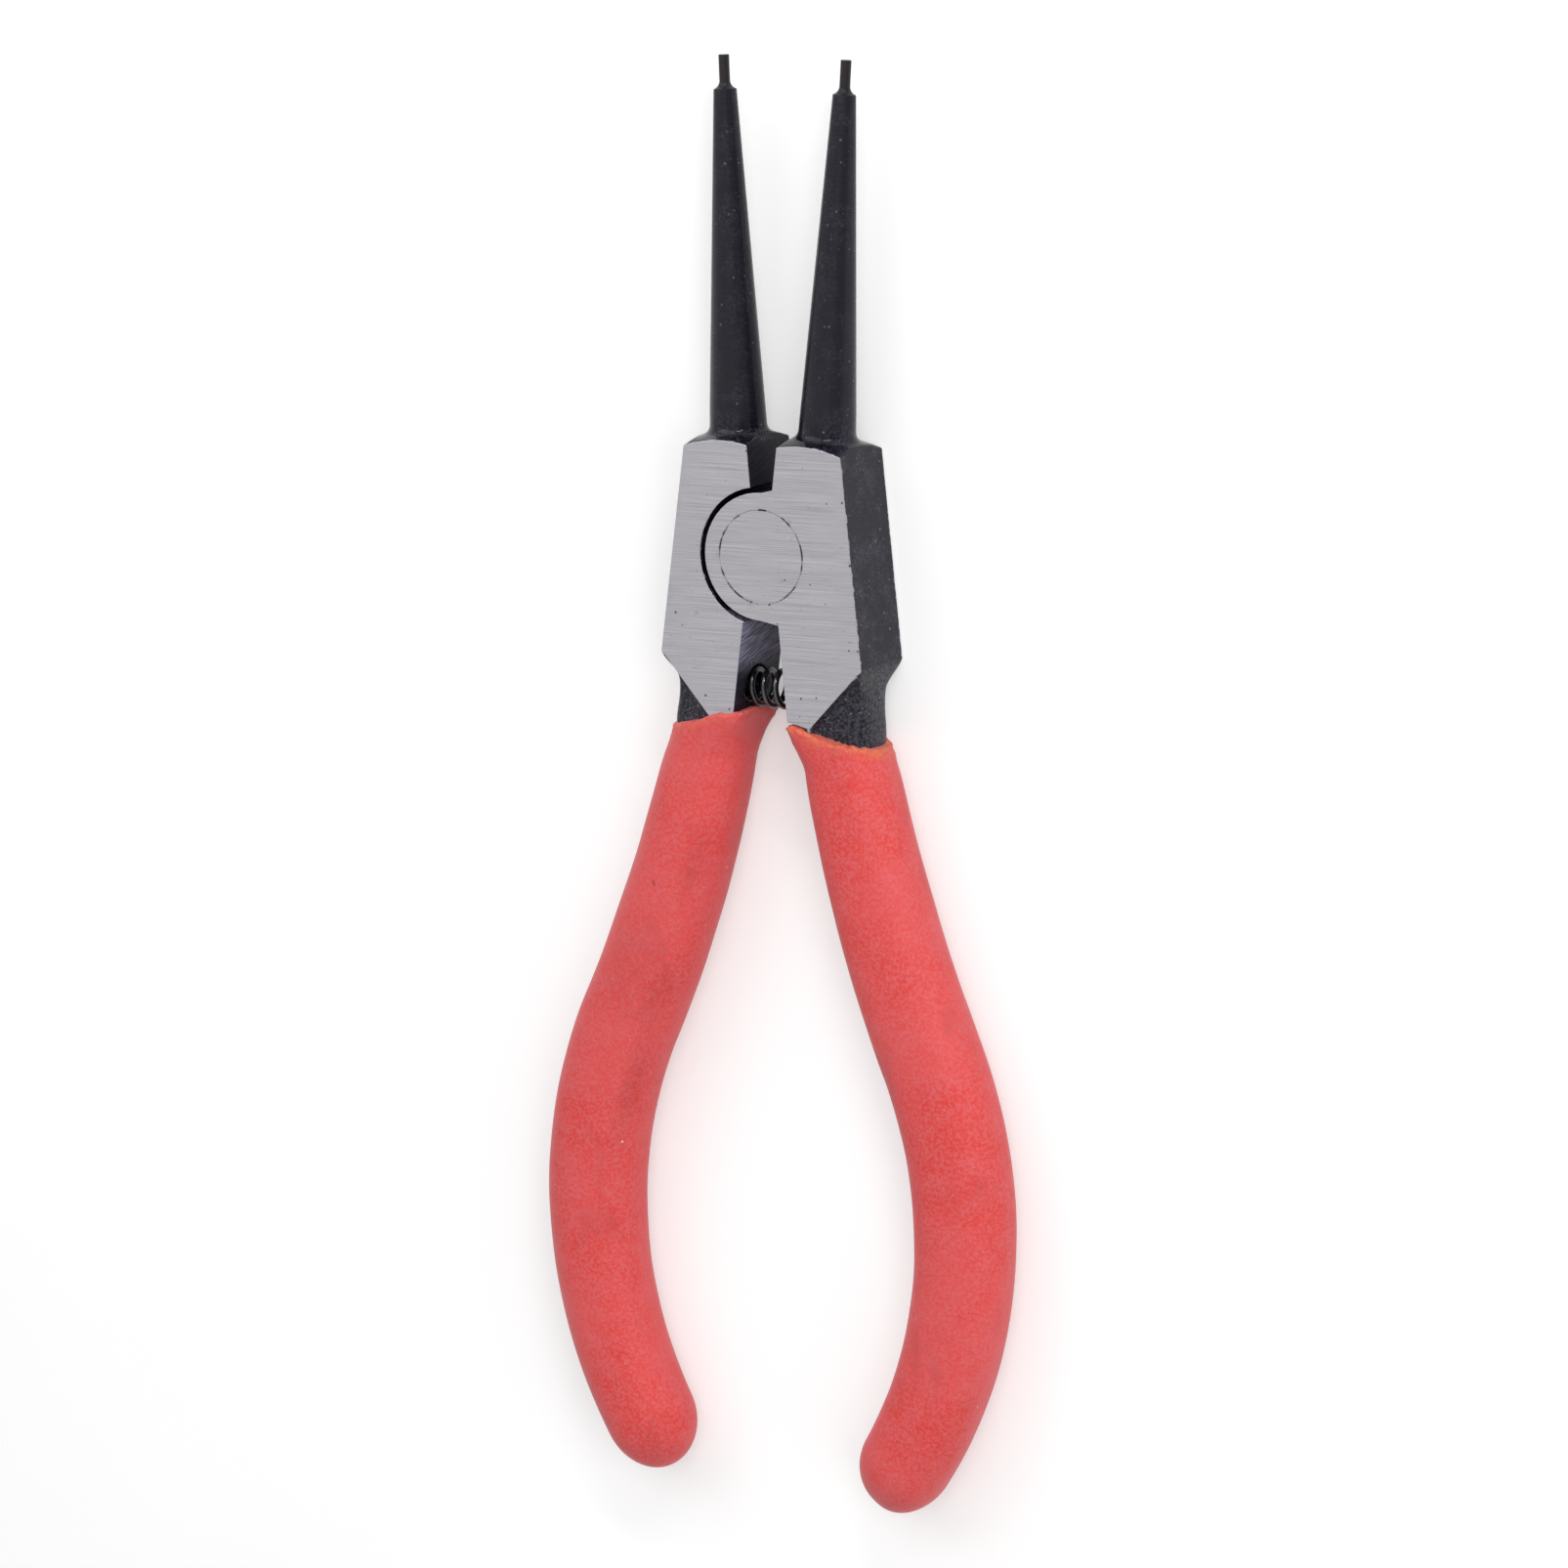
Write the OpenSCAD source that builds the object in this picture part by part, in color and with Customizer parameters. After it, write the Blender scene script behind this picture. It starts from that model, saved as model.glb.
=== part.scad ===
// Straight-nose pliers for external retaining rings.
// Two identical forged levers are turned over against each other and lapped at a flush rivet.
// Squeezing the handles swings the round noses apart, and a coil spring brings them back.
// Units are millimetres. +Y points along the noses, +Z along the rivet, and the origin lies
// on the rivet's axis in the plane of the lower ground face.

/* [Head] */
// Thickness of the head across its two ground faces
head_t = 10.4; // [9:0.1:12]
// Half width of the head at its widest corner, below the rivet
head_low_half_w = 13.9; // [13:0.1:16]
// Distance of that corner below the rivet's axis
head_low_y = 12.6; // [11:0.1:13.5]
// Half width of the head at the turned shoulder
head_top_half_w = 10.8; // [10:0.1:12]
// Gap between the two levers just above the rivet boss
jaw_gap_top = 3.0; // [2:0.1:4]
// Gap between the two levers just below the rivet boss
jaw_gap_low = 4.95; // [4:0.05:5.5]
// Lean of the inner wall above the boss, in degrees
jaw_lean_top = 6; // [4:0.5:8]
// Lean of the inner wall below the boss, in degrees
jaw_lean_low = 6.3; // [5:0.1:9]

/* [Nose] */
// Distance of the nose's foot from the tool's middle plane
nose_foot_x = 6.125; // [5.8:0.025:6.5]
// Distance of the nose's foot above the rivet's axis
nose_foot_y = 14.3; // [13.5:0.1:16]
// Outward lean of the nose, in degrees
nose_lean = 2.86; // [2:0.02:4]
// Length of the tapered nose from its foot to the rim at the pin
nose_len = 41.2; // [30:0.1:50]
// Diameter of the nose at its foot
nose_foot_d = 7.1; // [6:0.1:7.6]
// Diameter of the nose at the rim
nose_rim_d = 2.8; // [2.4:0.1:3.6]
// Slope of the turned shoulder below the nose, in degrees
shoulder_slope = 19.5; // [16:0.5:28]
// Radius of the fillet at the nose's foot
nose_fillet_r = 1.2; // [0.6:0.1:1.5]
// Diameter of the pin that enters the ring's eye
pin_d = 1.3; // [1:0.1:1.8]
// Height of the rounded root between the rim and the pin
pin_root_len = 1; // [0.8:0.05:1.2]
// Length of the pin above its root
pin_len = 3.1; // [2:0.1:5]

/* [Pivot] */
// Radius of the round boss that is lapped into the other lever
boss_r = 7.8; // [7:0.1:8.2]
// Step between the boss's edge and the ends of the inner walls
boss_step = 0.4; // [0.2:0.05:0.6]
// Radial room between the boss and the recess round it
boss_room = 0.65; // [0.4:0.05:0.9]
// Room between the two lapped faces
lap_gap = 0.05; // [0.02:0.01:0.1]
// Diameter of the rivet's flush head
rivet_head_d = 11.4; // [10:0.1:12.4]
// Diameter of the rivet's shank
rivet_shank_d = 7.8; // [6:0.1:8.6]
// Radial running clearance round the rivet
pivot_gap = 0.05; // [0.02:0.01:0.1]

/* [Handle] */
// Distance of the handle line from the tool's middle, at the lip of the grip
handle_x = 8.8; // [8.5:0.1:9.4]
// Distance of the grip's lip below the rivet's axis
lip_y = 20.9; // [20.4:0.1:22]
// Outward heading of the handle at the lip, in degrees
handle_heading = 11.3; // [10:0.1:13]
// Radius of the long outward sweep below the lip
lead_r = 194; // [150:1:240]
// Turn of the outward sweep, in degrees
lead_turn = 12.4; // [10:0.1:14]
// Radius of the inward bow that fits the palm
bow_r = 56.5; // [50:0.5:70]
// Turn of the inward bow, in degrees
bow_turn = 53.8; // [45:0.1:57]
// Thickness of the steel tang
tang_t = 7; // [6:0.1:7.8]
// Width of the steel tang
tang_w = 8.8; // [8:0.1:9.2]
// Fillet between the ground face and the tang
neck_fillet_r = 3; // [2:0.1:4]
// Angle of the cut between head and neck, measured from straight across, in degrees
neck_angle = 48; // [44:0.5:52]
// Half width of the tool across the necks at their narrowest place
neck_half_w = 12.65; // [12.4:0.05:12.8]
// Distance of the necks' narrowest place below the rivet's axis
neck_y = 16; // [15.5:0.1:17]

/* [Grip] */
// Width of the grip at its lip
grip_lip_w = 10.9; // [10.6:0.1:12]
// Width of the grip at its widest place
grip_belly_w = 12.8; // [12:0.1:14]
// Distance of the widest place from the lip, along the handle
grip_belly_s = 45; // [30:1:60]
// Width of the grip where its round end starts
grip_end_w = 11.4; // [11:0.1:12.8]
// Thickness of the grip
grip_t = 10; // [9.6:0.1:12]
// Thickness of the coat over the ground face at the lip
lip_coat = 0.7; // [0.5:0.05:1]
// Length over which the square lip changes to the oval grip
lip_blend = 5.5; // [4.5:0.5:9]
// Fall of the lip towards the outside, in degrees
lip_tilt = 11; // [6:0.5:13]
// Length of the grip's round end
grip_dome = 7; // [4:0.1:8]
// Room between the tang's end and the start of the grip's round end
tang_short = 3; // [1:0.5:6]
// Room between the coat and the steel
coat_gap = 0.05; // [0.02:0.01:0.1]

/* [Spring] */
// Distance of the spring below the rivet's axis
spring_y = 16.9; // [16:0.1:17.2]
// Outer diameter of the coil
spring_d = 5.05; // [4.4:0.05:5.4]
// Diameter of the spring wire
wire_d = 0.8; // [0.5:0.05:1]
// Number of turns, with one closed turn at each end
spring_turns = 8; // [6:1:9]
// Depth of the drilled pocket that holds an end of the spring
pocket_depth = 3; // [2:0.1:3.5]
// Room round the spring in its pockets and at their floors
spring_gap = 0.25; // [0.15:0.05:0.4]

/* [Hidden] */

$fn = 96;
black_steel = [0.20, 0.20, 0.22];
ground_steel = [0.68, 0.67, 0.69];
spring_steel = [0.13, 0.12, 0.13];
red_coat = [0.83, 0.30, 0.30];

cut_over = 1;
half_t = head_t / 2;
wall_y = boss_r + boss_step;
wall_top_y = nose_foot_y + nose_fillet_r;
rim_land = 0.05;
rim_step = nose_rim_d / 2 - pin_d / 2 - rim_land;
pin_root_r = (pow(pin_root_len, 2) + pow(rim_step, 2)) / (2 * rim_step);
nose_top = nose_len + pin_root_len + pin_len;
stock_top_y = nose_foot_y + nose_top + cut_over;
shoulder_corner_drop = 1.2;
fillet_sink = 0.003;
stock_r = head_low_half_w + head_low_y + lip_y;
recess_r = boss_r + boss_room;
countersink = (rivet_head_d - rivet_shank_d) / 2;

neck_sink = 0.15;
neck_floor = tang_t / 2 - neck_sink;
neck_drop = half_t - neck_floor;
neck_run = sqrt(pow(neck_fillet_r, 2) - pow(neck_fillet_r - neck_drop, 2));
neck_far = head_low_y + lip_y;
neck_tuck = 2.3;
neck_flare = 0.1;
neck_rise = 1.7;
neck_in = handle_x + tang_w / 2 - neck_tuck;
wall_low_y = lip_y - tang_w / 2 * tan(lip_tilt);

lead_len = lead_r * lead_turn * PI / 180;
bow_len = bow_r * bow_turn * PI / 180;
lead_end = handle_heading + lead_turn;
grip_s = lead_len + bow_len;
tang_s = grip_s - tang_short;
tang_back = 4;
tang_rings = 18;
tang_power = 5;
lip_power = 6;
lip_slant = 0.13;
oval_power = 2.4;
section_sides = 32;
grip_rings = 24;
lip_rings = 6;
dome_rings = 6;
dome_last = 85;

pocket_x = wall_x_low(spring_y) + pocket_depth;
pocket_r = spring_d / 2 + spring_gap;
coil_r = (spring_d - wire_d) / 2;
coil_len = 2 * (pocket_x - spring_gap) - wire_d;
wire_sides = 8;
turn_steps = 16;

// Distance of the inner walls from the tool's middle plane, below and above the boss.
function wall_x_low(drop) = jaw_gap_low / 2 + (drop - wall_y) * tan(jaw_lean_low);
function wall_x_top(rise) = jaw_gap_top / 2 + (rise - wall_y) * tan(jaw_lean_top);

// Drop of the block's lower end below the rivet's axis, just clear of the grip's tilted lip.
function block_low_y(x) = lip_y - coat_gap / cos(lip_tilt) + (x - handle_x) * tan(lip_tilt);

function mix(a, b, t) = a + (b - a) * t;
function clamp01(t) = min(max(t, 0), 1);
function ease(t) = let (c = clamp01(t)) c * c * (3 - 2 * c);

// The handle line: a long outward sweep that runs into the inward bow.
// s is the distance along it from the grip's lip.
function heading(s) =
    s < lead_len
        ? handle_heading + s / lead_r * 180 / PI
        : lead_end - (s - lead_len) / bow_r * 180 / PI;
lead_centre = [handle_x, -lip_y] + lead_r * [cos(handle_heading), sin(handle_heading)];
bow_start = lead_centre - lead_r * [cos(lead_end), sin(lead_end)];
bow_centre = bow_start - bow_r * [cos(lead_end), sin(lead_end)];
function handle_point(s) =
    let (h = heading(s))
    s < lead_len
        ? lead_centre - lead_r * [cos(h), sin(h)]
        : bow_centre + bow_r * [cos(h), sin(h)];

// Rounded section of a tang or grip across the handle line at s.
// The section is tilted at the lip and stands square to the handle further down.
// Its two powers square off the side towards the tool's middle and the outer side.
// A slant makes it thicker towards the tool's middle.
function rounded(v, power) = sign(v) * pow(abs(v), 2 / power);
function section(s, half_w, half_h, inner_power, outer_power, slant = 0) =
    let (
        c = handle_point(s),
        turn = mix(-lip_tilt, heading(s), ease(s / (2 * lip_blend)))
    )
    [for (j = [0 : section_sides - 1])
        let (
            a = -360 * j / section_sides,
            power = cos(a) < 0 ? inner_power : outer_power,
            across = rounded(cos(a), power),
            through = rounded(sin(a), power) * (1 - slant * across)
        )
        [c[0] + half_w * across * cos(turn), c[1] + half_w * across * sin(turn), half_h * through]];

// Faces between two neighbouring rings, given where their points start in the list.
function band(first, second, n) =
    [for (j = [0 : n - 1])
        let (k = (j + 1) % n)
        each [[first + j, first + k, second + j], [first + k, second + k, second + j]]];
function skin(start, count, n) =
    [for (i = [0 : count - 2]) each band(start + i * n, start + (i + 1) * n, n)];
function cap(start, n) = [for (j = [0 : n - 1]) start + j];
function flipped(faces) = [for (f = faces) [for (i = [len(f) - 1 : -1 : 0]) f[i]]];

// Solid through a list of rings with the same number of points.
module loft(rings) {
    n = len(rings[0]);
    last = (len(rings) - 1) * n;
    faces = concat(flipped([cap(0, n)]), skin(0, len(rings), n), [cap(last, n)]);
    polyhedron([for (r = rings) each r], faces, convexity = 8);
}

// Sleeve with a closed end: an outer skin, an inner skin, and a lip between their first rings.
module sleeve(outer, inner) {
    n = len(outer[0]);
    start = len(outer) * n;
    outside = concat(skin(0, len(outer), n), [cap(start - n, n)]);
    inside = concat(skin(start, len(inner), n), [cap(start + (len(inner) - 1) * n, n)]);
    points = [for (r = concat(outer, inner)) each r];
    polyhedron(points, concat(outside, flipped(inside), band(start, 0, n)), convexity = 8);
}

// Outline of the forging's full-thickness block, right lever, counter-clockwise.
// Above the shoulder it is stock that the turned nose is cut from.
head_outline = [
    [jaw_gap_low / 2, -wall_y],
    [wall_x_low(wall_low_y), -block_low_y(wall_x_low(wall_low_y))],
    [neck_in, -block_low_y(neck_in)],
    [neck_half_w + neck_flare, neck_rise - lip_y],
    [neck_half_w, -neck_y],
    [head_low_half_w, -head_low_y],
    [head_top_half_w, nose_foot_y - shoulder_corner_drop],
    [head_top_half_w, stock_top_y],
    [wall_x_top(wall_top_y), stock_top_y],
    [wall_x_top(wall_top_y), wall_top_y],
    [jaw_gap_top / 2, wall_y]
];

// Plan of the head with its round boss.
module head_plan() {
    polygon(head_outline);
    circle(boss_r);
    polygon([
        [0, -boss_r],
        [jaw_gap_low / 2, -wall_y],
        [boss_r, 0],
        [jaw_gap_top / 2, wall_y],
        [0, boss_r]
    ]);
}

// Cutter that thins the forging from both ground faces, along a line through the origin.
// It cuts towards +X and runs along Y.
module thinning_cut() {
    rotate([90, 0, 0])
        linear_extrude(2 * neck_far, center = true)
            for (side = [0, 1])
                mirror([0, side]) {
                    translate([neck_run, neck_floor])
                        square([neck_far, head_t]);
                    translate([neck_run, neck_floor + neck_fillet_r])
                        circle(neck_fillet_r);
                }
}

// Forged head of one lever, thinned towards the tang.
module head_block() {
    difference() {
        linear_extrude(head_t, center = true)
            head_plan();
        translate([head_low_half_w, -head_low_y, 0])
            rotate([0, 0, neck_angle - 90])
                thinning_cut();
    }
}

// Rings of the tang along the handle line, with room round it.
function tang_section(s, gap) =
    section(s, tang_w / 2 + gap, tang_t / 2 + gap, tang_power, tang_power);

// The tang, from inside the head to short of the grip's round end.
module tang() {
    loft(concat(
        [tang_section(-tang_back, 0)],
        [for (i = [0 : tang_rings]) tang_section(tang_s * i / tang_rings, 0)]
    ));
}

// Half profile of the turned shoulder, nose and pin, along the nose's axis.
module turned_profile() {
    foot_r = nose_foot_d / 2;
    rim_r = nose_rim_d / 2;
    taper = (foot_r - rim_r) / nose_len;
    fall = tan(shoulder_slope);
    cone_side = sqrt(1 + taper * taper);
    shoulder_side = sqrt(1 + fall * fall);
    fillet_out = nose_fillet_r * (cone_side - taper * shoulder_side) / (1 - taper * fall);
    fillet_up = nose_fillet_r * shoulder_side - fall * fillet_out;
    centre = [foot_r + fillet_out, fillet_up];
    polygon([
        [0, -stock_r],
        [stock_r, -stock_r],
        [stock_r, (foot_r - stock_r) * fall],
        [foot_r, 0],
        [rim_r, nose_len],
        [pin_d / 2, nose_len],
        [pin_d / 2, nose_top],
        [0, nose_top]
    ]);
    difference() {
        polygon([
            [foot_r - nose_fillet_r, -nose_fillet_r],
            centre - nose_fillet_r * [fall, 1] / shoulder_side,
            centre,
            centre - nose_fillet_r * [1, taper] / cone_side
        ]);
        translate(centre)
            circle(nose_fillet_r + fillet_sink);
    }
    difference() {
        translate([0, nose_len - cut_over])
            square([pin_d / 2 + rim_step, pin_root_len + cut_over]);
        translate([pin_d / 2 + pin_root_r, nose_len + pin_root_len])
            circle(pin_root_r);
    }
}

// Everything that the lathe leaves: shoulder, tapered nose and pin.
module turned_nose() {
    translate([nose_foot_x, nose_foot_y, 0])
        rotate([-90, 0, -nose_lean])
            rotate_extrude()
                turned_profile();
}

// One lever in the place of the right one, about the tool's middle plane.
module lever() {
    difference() {
        union() {
            intersection() {
                head_block();
                turned_nose();
            }
            tang();
        }
        translate([0, 0, lap_gap / 2 - head_t])
            cylinder(h = head_t, r = recess_r);
        cylinder(h = 2 * head_t, d = rivet_shank_d + 2 * pivot_gap, center = true);
        translate([0, 0, half_t - countersink])
            cylinder(
                h = countersink + cut_over,
                r1 = rivet_shank_d / 2 + pivot_gap,
                r2 = rivet_head_d / 2 + pivot_gap + cut_over
            );
        translate([0, -spring_y, 0])
            rotate([0, 90, 0])
                cylinder(h = pocket_x, r = pocket_r);
    }
}

// Rings of the grip: square-cornered at the lip, oval below it, closing in a round end.
function grip_half_w(s) =
    s < grip_belly_s
        ? mix(grip_lip_w, grip_belly_w, sin(90 * s / grip_belly_s)) / 2
        : mix(grip_belly_w, grip_end_w, 1 - cos(90 * (s - grip_belly_s) / (grip_s - grip_belly_s))) / 2;
function grip_section(s, size = 1) =
    let (oval = ease(s / lip_blend))
    section(
        s,
        grip_half_w(min(s, grip_s)) * size,
        mix((half_t + lip_coat) / (1 + lip_slant), grip_t / 2, oval) * size,
        mix(lip_power, oval_power, oval),
        oval_power,
        lip_slant * (1 - oval)
    );

// Dipped coat on the right handle, about the tool's middle plane.
module grip() {
    lip = [for (i = [0 : lip_rings - 1]) grip_section(lip_blend * i / lip_rings)];
    stem = [for (i = [0 : grip_rings]) grip_section(mix(lip_blend, grip_s, i / grip_rings))];
    dome = [for (i = [1 : dome_rings])
        let (a = dome_last * i / dome_rings)
        grip_section(grip_s + grip_dome * sin(a), cos(a))];
    bore = [for (i = [0 : tang_rings]) tang_section((tang_s + coat_gap) * i / tang_rings, coat_gap)];
    sleeve(concat(lip, stem, dome), bore);
}

// Puts a lever or grip on its side of the tool; the left one is the right one turned over.
module right_side() {
    translate([0, 0, half_t])
        children();
}
module left_side() {
    translate([0, 0, half_t])
        rotate([0, 180, 0])
            children();
}

module left_lever() {
    color(black_steel)
        left_side()
            lever();
}

module right_lever() {
    color(black_steel)
        right_side()
            lever();
}

// Rivet with a countersunk head at each end, ground flush with the faces.
module pivot_rivet() {
    shank_r = rivet_shank_d / 2;
    head_r = rivet_head_d / 2;
    color(ground_steel)
        rotate_extrude()
            polygon([
                [0, 0],
                [head_r, 0],
                [shank_r, countersink],
                [shank_r, head_t - countersink],
                [head_r, head_t],
                [0, head_t]
            ]);
}

// Compression spring between the handles, with a closed turn at each end.
function coil_x(turn) = lookup(turn, [
    [0, -coil_len / 2],
    [1, -coil_len / 2 + wire_d],
    [spring_turns - 1, coil_len / 2 - wire_d],
    [spring_turns, coil_len / 2]
]);
module return_spring() {
    rings = [for (i = [0 : spring_turns * turn_steps])
        let (a = 360 * i / turn_steps)
        [for (j = [0 : wire_sides - 1])
            let (
                b = 360 * j / wire_sides,
                r = coil_r + wire_d / 2 * cos(b)
            )
            [coil_x(i / turn_steps) + wire_d / 2 * sin(b), r * cos(a), r * sin(a)]]];
    color(spring_steel)
        translate([0, -spring_y, half_t])
            loft(rings);
}

module left_grip() {
    color(red_coat)
        left_side()
            grip();
}

module right_grip() {
    color(red_coat)
        right_side()
            grip();
}

left_lever();
right_lever();
pivot_rivet();
return_spring();
left_grip();
right_grip();
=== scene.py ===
"""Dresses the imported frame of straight-nose external circlip pliers for a studio view.

X runs across the tool, Y from the grips to the tips and Z up; lengths are in metres.
"""

import math

import bmesh
import bpy
from bpy.props import FloatProperty, FloatVectorProperty, IntProperty, PointerProperty
from mathutils import Matrix, Vector, noise


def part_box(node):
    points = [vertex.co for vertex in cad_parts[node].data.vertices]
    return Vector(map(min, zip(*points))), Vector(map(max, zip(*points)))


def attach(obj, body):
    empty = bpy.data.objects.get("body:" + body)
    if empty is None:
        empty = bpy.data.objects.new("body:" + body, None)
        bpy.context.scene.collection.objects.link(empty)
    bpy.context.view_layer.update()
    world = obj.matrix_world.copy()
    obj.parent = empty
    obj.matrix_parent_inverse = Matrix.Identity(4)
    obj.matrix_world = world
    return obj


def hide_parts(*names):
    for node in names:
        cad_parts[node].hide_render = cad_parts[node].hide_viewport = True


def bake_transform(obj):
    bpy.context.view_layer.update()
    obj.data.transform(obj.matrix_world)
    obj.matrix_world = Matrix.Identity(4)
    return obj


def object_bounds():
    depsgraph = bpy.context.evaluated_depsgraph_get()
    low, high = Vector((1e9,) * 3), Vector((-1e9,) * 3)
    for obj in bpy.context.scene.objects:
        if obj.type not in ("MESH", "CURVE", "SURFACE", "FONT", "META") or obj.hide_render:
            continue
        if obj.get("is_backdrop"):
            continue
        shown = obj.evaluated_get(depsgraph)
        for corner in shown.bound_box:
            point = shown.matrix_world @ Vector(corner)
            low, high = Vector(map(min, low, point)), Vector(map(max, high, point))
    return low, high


bl_info = {
    "name": "Circlip Pliers",
    "version": (1, 0, 0),
    "blender": (4, 5, 0),
    "location": "View3D > Sidebar > Pliers",
    "description": "Steel levers, flush rivet, return spring and dipped grips of circlip pliers",
    "category": "Object",
}

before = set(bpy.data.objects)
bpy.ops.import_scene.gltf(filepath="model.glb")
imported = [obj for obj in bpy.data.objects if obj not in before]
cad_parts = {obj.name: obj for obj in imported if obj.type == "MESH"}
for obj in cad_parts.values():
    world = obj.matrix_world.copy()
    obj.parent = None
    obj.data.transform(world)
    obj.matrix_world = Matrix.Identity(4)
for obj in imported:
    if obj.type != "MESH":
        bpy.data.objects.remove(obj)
CAD_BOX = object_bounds()
MM = 0.001
SIDES = {"left": -1, "right": 1}

# Places that the frame gives
FACE_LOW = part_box("pivot_rivet")[0].z
FACE_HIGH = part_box("pivot_rivet")[1].z
HALF_T = (FACE_HIGH - FACE_LOW) / 2
MID_Z = (FACE_HIGH + FACE_LOW) / 2
RIVET_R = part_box("pivot_rivet")[1].x
SPRING_LOW, SPRING_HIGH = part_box("return_spring")

# Meshes: points this close are joined, faces this flat and this near lie in a ground plane
WELD = 0.002 * MM
FLAT_NORMAL = 0.99
FLAT_REACH = 0.02 * MM
FLAT_ANGLE = math.radians(0.4)
COIL_SHARP_ANGLE = math.radians(40)
EDGE_STEPS = 3

# Sections: a power of 2 is round and a higher one is squarer; the lip is thinner on the outside
OVAL_POWER = 2.4
LIP_POWER = 6.0
LIP_SLANT = 0.13
NECK_POWER = 3.0

# Rings along the necks and grips: a crowding over 1 puts them closer together at the upper end
NECK_CROWDING = 1.4
STEM_CROWDING = 1.15
BEAD_STEPS = 6
DOME_STEPS = 24
DOME_TURN = math.radians(88)

# Lips of the grips: start and length of each change, across the handle from -1 inside to 1 outside
RISE_SPAN = (-0.5, 0.8)
SAG_SPAN = (-0.9, 0.9)
DROOP_SPAN = (-1.0, 0.3)
# Size of the lip's mouth against its outline, and how thin the coat is at the lip on each side
LIP_MOUTH = 0.55
RIM_THINNESS = {-1: 0.4, 1: 1.0}
# Uneven coat: waves to half a width with their place in the noise, and sizes of the lumps
WAVES = (2.2, 5.3, 0.7)
TEETH = (9, 2.9, 3.7)
LUMP_SIZE = 7 * MM
LUMP_SHIFT = 3.1
RIM_LUMP_SIZE = 0.6 * MM

# Places where one finish of the levers gives way to the next, or where painted shade starts, from start to
# end
WORN_EDGE = (HALF_T - 0.32 * MM, HALF_T - 0.12 * MM)
WALL_SIDE = (4.6 * MM, 5.0 * MM)
# The next two are painted shade: the milled walls are painted darker down by the spring and higher up
WALL_FOOT_SHADE = (-15.5 * MM, -12.2 * MM)
WALL_SHADE = (-9 * MM, -6 * MM)
WALL_TOP = (12.6 * MM, 14.2 * MM)
NECK_DUST = (-13.6 * MM, -12.2 * MM)
NOSE_FOOT = (13.2 * MM, 13.9 * MM)
NOSE_FOOT_END = (15.4 * MM, 17 * MM)
NOSE_RINGS = (14.6 * MM, 16.5 * MM)
BROWNED = (55.2 * MM, 57.0 * MM)
# Ragged edge of the ground faces: depth below the face, raggedness and softness
GROUND_DEPTH = 0.10 * MM
GROUND_BURR = 0.06 * MM
GROUND_BLEND = 0.02 * MM
# Lines round the rivet: radius and half width
SEAM_LINE = (RIVET_R + 0.03 * MM, 0.17 * MM)
FAINT_LINE = (RIVET_R + 0.42 * MM, 0.10 * MM)
# Turns of the grinding lines and of the milling marks, and the share of the broad grinding lines
GRIND_TURN = (0, 0, math.radians(-1.5))
MILL_TURN = (0, math.pi / 2, math.radians(16))
BROAD_SHARE = 0.18

# Roughness at the low and at the high end of each finish's pattern
ROUGH = {
    "ground": (0.48, 0.38),
    "rivet": (0.46, 0.36),
    "forging": (0.34, 0.48),
    "nose": (0.27, 0.33),
    "wire": (0.10, 0.24),
    "coat": (0.50, 0.66),
}
NOSE_FOOT_ROUGH = 0.10
# Depth and strength of each finish's fine relief
RELIEF = {"steel": (0.012 * MM, 0.6), "wire": (0.004 * MM, 0.5), "coat": (0.05 * MM, 0.6)}

# Rub marks on the left grip in millimetres: middle, turn in degrees, half sizes and strength
RUB_MARKS = (
    ((-9.6, -39.0), 72, (7.5, 2.2), 0.34),
    ((-14.6, -56.0), 62, (9.0, 2.6), 0.38),
    ((-18.8, -69.5), 72, (11.5, 2.4), 0.52),
    ((-17.6, -98.5), 100, (4.0, 1.8), 0.40),
    ((-15.1, -41.9), 118, (0.75, 0.36), 1.0),
    ((-18.6, -53.0), 66, (11.0, 6.0), 0.26),
)
RUB_DEPTH = 4 * MM
RUB_CORE = 0.1
# Faint rubs all over: their shift, and their stretch along the handles
RUB_SHIFT = (31 * MM, 17 * MM, 0)
RUB_STRETCH = (1, 0.4, 1)

# Studio lamps: place, size, power in watts and whether the steel mirrors them
LAMPS = {
    "key": ((-0.40, 0.65, 0.60), (1.00, 0.75), 3.7, True),
    "strip": ((0.36, 0.72, 0.56), (0.50, 0.03), 2.0, True),
    "front": ((0.36, 0.15, 0.64), (0.45, 0.45), 1.6, False),
    "side": ((0.75, -0.10, 0.45), (0.60, 0.80), 2.4, False),
}
# Dark flag beside the set: its direction, and the cosines where its shade starts and is full
FLAG_PLACE = Vector((0.88, 0.15, 0.45)).normalized()
FLAG_EDGE = (0.72, 0.96)
# Floor: half its side, the distances between which the lamps' light dies away, its paler patches
FLOOR_HALF = 2.0
FLOOR_FADE = (0.2, 1.2)
PALER = 1.01
CLIP_START = 10 * MM


def length(name, description, default):
    """A property that holds a length in metres."""
    return FloatProperty(name=name, description=description, default=default, unit="LENGTH", precision=5)


def degrees(name, description, default):
    """A property that holds an angle, its default given in degrees."""
    return FloatProperty(name=name, description=description, default=math.radians(default), subtype="ANGLE")


def colour(name, description, default):
    """A property that holds a linear colour."""
    return FloatVectorProperty(
        name=name, description=description, default=default, size=3, min=0, max=1, subtype="COLOR"
    )


def number(name, description, default):
    """A property that holds a plain number."""
    return FloatProperty(name=name, description=description, default=default)


def count(name, description, default, least):
    """A property that holds a whole number."""
    return IntProperty(name=name, description=description, default=default, min=least)


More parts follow.
